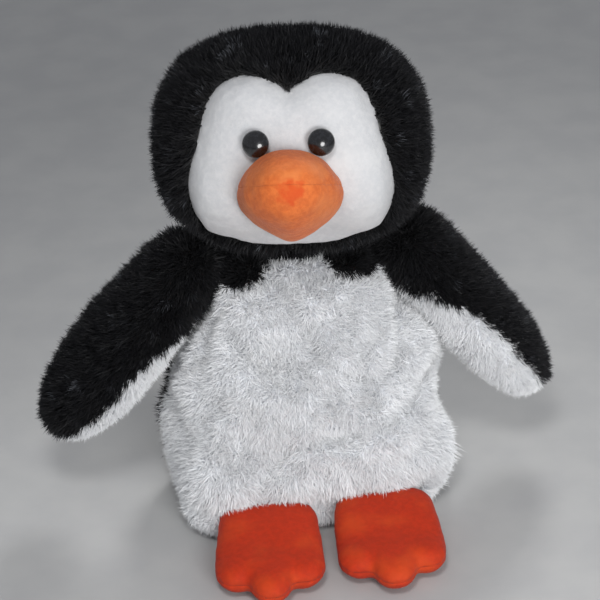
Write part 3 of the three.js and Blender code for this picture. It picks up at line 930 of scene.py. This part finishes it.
def makeBody():
    print("stage: body", flush=True)
    yoke, rest = split(bodyForm(), yokeEdge())
    seat, rest = split(rest, lambda p: p.z - body["seatAt"])
    belly, back = split(rest, sideSeam)
    backLeft, backRight = split(back, lambda p: -p.x)

    whiteSwirl = swirl(0.014, 0.7, 8)
    blackSwirl = swirl(0.012, 0.3, 6)
    fine = swirl(0.005, 0.3, 4)
    whitePile = clouds(0.013, 0.86, 1.12, 12)

    def whiteComb(p):
        down = Vector((0, -0.1, -0.35)) if p.z > 0.02 else Vector((0, -0.15, -0.1))
        flow = whiteSwirl(p) + fine(p) + down
        over = hem(p)
        flow = flow * (1 - over) + Vector((0, -0.5, -0.75)) * over
        if p.z < 0.012:
            flow.z = max(flow.z, -0.1) + 0.15
        return flow

    def blackComb(p):
        over = bodyNape(p)
        down = Vector((0, 0, -0.3 if p.y > 0 else -0.8))
        flow = blackSwirl(p) + down * (1 - over) + Vector((0, 0, 0.9)) * over
        if p.z < 0.012:
            flow.z += 0.4
        return flow

    growFur("bellyFur", belly, "white", "torso", "white_plush", whiteFur, whiteComb, whiteTone,
            lambda p: whitePile(p) + body["hemLength"] * hem(p))
    for name, part in (("backLeftFur", backLeft), ("backRightFur", backRight), ("collarFur", yoke)):
        growFur(name, part, "black", "torso", "black_plush", blackFur, blackComb, blackTone,
                lambda p: blackPatches(p) + body["napePile"] * bodyNape(p))
    for name, node, part, knit, slot in (
            ("bellyPanel", "belly_panel", belly, whiteKnit, "white_plush"),
            ("seatPanel", "seat_panel", seat, whiteKnit, "white_plush"),
            ("backPanelLeft", "back_panel_left", backLeft, blackKnit, "black_plush"),
            ("backPanelRight", "back_panel_right", backRight, blackKnit, "black_plush"),
            ("collar", "neck_yoke", yoke, blackKnit, "black_plush")):
        skin = walls(toObject(name, part, knit), backing["plush"])
        addPiece(skin, "torso", slot, [node])


flipper = {"skinInset": 0.0015, "wrap": 0.022, "wrapLength": 0.062, "seamRoll": {"left": 12, "right": 5},
           "seamShift": {"left": 0.0015, "right": 0.0}, "seamWave": 0.0014, "tipRise": 0.012}


def middleOf(node):
    spots = [v.co for v in frame["nodes"][node].data.vertices]
    return sum(spots, Vector()) / len(spots)


def makeFlipper(side):
    print("stage: flipper", side, flush=True)
    outer, inner, filling = (f"flipper_{side}_{part}" for part in ("outer", "inner", "filling"))
    form = closedForm((outer, inner, filling), 0.0036, flipper["skinInset"], 8)
    joint = Vector(joints[f"flipper_{side}_lift"]["pos_m"])
    low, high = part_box(outer)
    tipAt = Vector((high.x if side == "left" else low.x, joint.y, low.z + flipper["tipRise"]))
    along = (tipAt - joint).normalized()
    up = (middleOf(outer) - middleOf(inner)).normalized()
    rolled = math.radians(flipper["seamRoll"][side])
    up = (up * math.cos(rolled) + Vector((0, 1, 0)) * math.sin(rolled)).normalized()

    def seam(p):
        # the black side wraps round the shoulder, and its edge hangs a little over the white
        reach = clamped((p - joint).dot(along) / flipper["wrapLength"])
        wrap = flipper["wrap"] * (1 - reach) ** 2
        wave = flipper["seamWave"] * noise.noise(p * 160)
        return flipper["seamShift"][side] - (p - joint).dot(up) - wrap + wave

    form = puff(form, [seam], 0.003, 0.002)
    form = refine(form)
    top, under = split(form, seam)
    topSwirl, underSwirl = swirl(0.01, 0.28, 14), swirl(0.011, 0.6, 8)
    growFur(f"flipperTopFur_{side}", top, "black", f"flipper_{side}", "black_plush", blackFur,
            lambda p: along * 0.4 + topSwirl(p) + Vector((0, 0, -0.08)), blackTone, blackPatches)
    growFur(f"flipperUnderFur_{side}", under, "white", f"flipper_{side}", "white_plush", whiteFur,
            lambda p: along * 0.3 + underSwirl(p), whiteTone, clouds(0.013, 0.72, 1.05, 12))
    for name, node, part, knit, slot in ((f"flipperTop_{side}", outer, top, blackKnit, "black_plush"),
                                         (f"flipperUnder_{side}", inner, under, whiteKnit, "white_plush")):
        skin = walls(toObject(name, part, knit), backing["plush"])
        addPiece(skin, f"flipper_{side}", slot, [node])


foot = {"notchAt": 0.0115, "notchDepth": 0.0006, "notchWidth": 0.003, "notchFrom": 0.03, "notchOver": 0.012,
        "seamDepth": 0.0004, "seamWidth": 0.0009, "dent": 0.0006, "floorGap": 0.0004,
        "rootRise": 0.007, "rootLength": 0.03, "rootBack": 0.01, "rootWide": 0.16, "rootFrom": 0.014}


def makeFoot(side):
    print("stage: foot", side, flush=True)
    upper, sole, filling = (f"foot_{side}_{part}" for part in ("upper", "sole", "filling"))
    form = closedForm((upper, sole, filling), 0.0022, 0.0, 6)
    seam = between([upper], [sole])
    form = puff(form, [seam], 0.0016, 0.0012)
    form = refine(form)
    axis = Vector(joints[f"foot_{side}_flex"]["axis"])
    hinge = Matrix.Translation(Vector(joints[f"foot_{side}_flex"]["pos_m"]))
    place = hinge @ Matrix.Rotation(math.atan2(-axis.y, -axis.x), 4, "Z")
    home = place.inverted()
    for vert, normal in [(v, v.normal.copy()) for v in form.verts]:
        local = home @ vert.co
        spread = foot["notchAt"] * (0.8 - local.y * 5)  # the toes fan out
        valley = bell(local.x - spread, foot["notchWidth"]) + bell(local.x + spread, foot["notchWidth"])
        reach = clamped((-local.y - foot["notchFrom"]) / foot["notchOver"])
        groove = bell(local.z, foot["seamWidth"]) if normal.z < 0.8 else 0.0
        lump = foot["dent"] * noise.noise(vert.co * 70)
        vert.co += normal * (lump - foot["notchDepth"] * valley * reach - foot["seamDepth"] * groove)
        root = clamped(1 + local.y / foot["rootLength"])  # the instep climbs to the hem
        root = root * root * (3 - 2 * root)
        local = home @ vert.co
        local.x *= 1 + foot["rootWide"] * root
        local.y += foot["rootBack"] * root
        vert.co = place @ local
        vert.co.z += foot["rootRise"] * root * clamped(vert.co.z / foot["rootFrom"])
        vert.co.z = max(vert.co.z, foot["floorGap"])
    form.normal_update()
    top, under = split(form, seam)
    for name, node, part in ((f"footTop_{side}", upper, top), (f"footSole_{side}", sole, under)):
        skin = walls(toObject(name, part, footVelboa), backing["velboa"])
        addPiece(skin, f"foot_{side}", "orange_velboa", [node])


def makeWad(name, node, bodyName, material, slot, inset):
    form = closedForm((node,), 0.0045, inset, 6)
    for vert, normal in [(v, v.normal.copy()) for v in form.verts]:
        vert.co += normal * 0.0007 * noise.noise(vert.co * 160)
    form.normal_update()
    addPiece(toObject(name, form, material), bodyName, slot, [node])


def makeNeckFur():
    # the black cover goes on round the neck, where the hood and the collar part when the head turns
    form = closedForm(("neck_filling",), 0.0035, 0.004, 6)
    growFur("neckFur", form, "black", "neck", "black_plush", blackFur, swirl(0.012, 0.3, 6), blackTone,
            lambda p: 0.7)


# how far each wad stays inside its cover
wadInsets = {"foot": 0.0012, "beak": 0.0012, "neck": 0.009, "plain": 0.0035, "bag": 0.003}


def makeInsides():
    print("stage: stuffing", flush=True)
    wads = [("bodyStuffing", "body_filling", "torso", "plain"),
            ("neckStuffing", "neck_filling", "neck", "neck"),
            ("headStuffing", "head_filling", "head", "plain"),
            ("beakStuffing", "beak_filling", "head", "beak")]
    for side in sides:
        wads += [(f"flipperStuffing_{side}", f"flipper_{side}_filling", f"flipper_{side}", "plain"),
                 (f"shoulderStuffing_{side}", f"shoulder_{side}_filling", f"shoulder_{side}", "plain"),
                 (f"footStuffing_{side}", f"foot_{side}_filling", f"foot_{side}", "foot")]
    for name, node, bodyName, kind in wads:
        makeWad(name, node, bodyName, fibreFinish, "fibre_filling", wadInsets[kind])
    makeWad("pelletBag", "pellet_bag", "torso", bagFinish, "bag_cloth", wadInsets["bag"])
    for side in sides:
        node = frame["nodes"][f"eye_washer_{side}"]
        node.data.materials.clear()
        node.data.materials.append(washerFinish)


label = {"width": 0.985, "bow": 0.0016}


def makeLabel():
    low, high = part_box("care_label")
    middle, size = (low + high) / 2, high - low
    form = bmesh.new()
    bmesh.ops.create_grid(form, x_segments=12, y_segments=8, size=0.5)
    for vert in form.verts:
        across, rise = vert.co.x, vert.co.y
        bow = label["bow"] * math.sin((across + 0.5) * math.pi)
        vert.co = middle + Vector((bow, across * size.y * label["width"], rise * size.z))
    bmesh.ops.recalc_face_normals(form, faces=form.faces)
    obj = toObject("careLabel", form, satinFinish)
    walls(obj, backing["satin"])
    addPiece(obj, "torso", "label_satin", ["care_label"])


makeHead()
makeEyes()
makeBeak()
makeBody()
for side in sides:
    makeFlipper(side)
    makeFoot(side)
makeNeckFur()
makeInsides()
makeLabel()
for kind in furKinds.values():
    for tuft in list(kind["tufts"].objects):
        bpy.data.objects.remove(tuft)
    bpy.data.collections.remove(kind["tufts"])
print("fur triangles", furCount, flush=True)


def makeStage():
    form = bmesh.new()
    bmesh.ops.create_grid(form, x_segments=2, y_segments=2, size=9.0)
    r = Recipe("floorPaper")
    grain = r.noise(r.coords(), 30, 4.0)
    grey = r.mix(r.spread(grain, 0.3, 0.7), shade("acacac"), shade("b2b2b1"))
    paper = r.finish(BaseColor=grey, Roughness=0.95)
    toObject("floor", form, paper)


# place, target, size, power, whether it glints in the eyes, and the angle that it spreads over
lights = {
    "softKey": ((-0.2, -0.75, 1.3), (0, 0, 0.1), 0.4, 7.2, False, 180),
    "softFill": ((1.1, -0.6, 0.8), (0, 0, 0.1), 0.9, 1.6, False, 180),
    "flash": ((0.16, -0.93, 0.37), (0, 0, 0.12), 0.46, 5.6, True, 180),
    "softBack": ((0.35, 0.95, 0.75), (0, 0, 0.14), 0.35, 0.5, True, 40),
}


def makeLight(name, place, target, size, power, glints, spread):
    light = bpy.data.lights.new(name, "AREA")
    light.shape = "DISK"
    light.size = size
    light.energy = power
    light.spread = math.radians(spread)
    obj = bpy.data.objects.new(name, light)
    obj.location = place
    obj.visible_glossy = glints
    obj.rotation_euler = (Vector(place) - Vector(target)).to_track_quat("Z", "Y").to_euler()
    bpy.context.scene.collection.objects.link(obj)


bpy.context.scene.view_settings.view_transform = "Standard"
makeStage()
for name, settings in lights.items():
    makeLight(name, *settings)
world = bpy.data.worlds.new("room")
world.use_nodes = True
world.node_tree.nodes["Background"].inputs[0].default_value = (0.9, 0.93, 1.0, 1)
world.node_tree.nodes["Background"].inputs[1].default_value = 0.31
bpy.context.scene.world = world
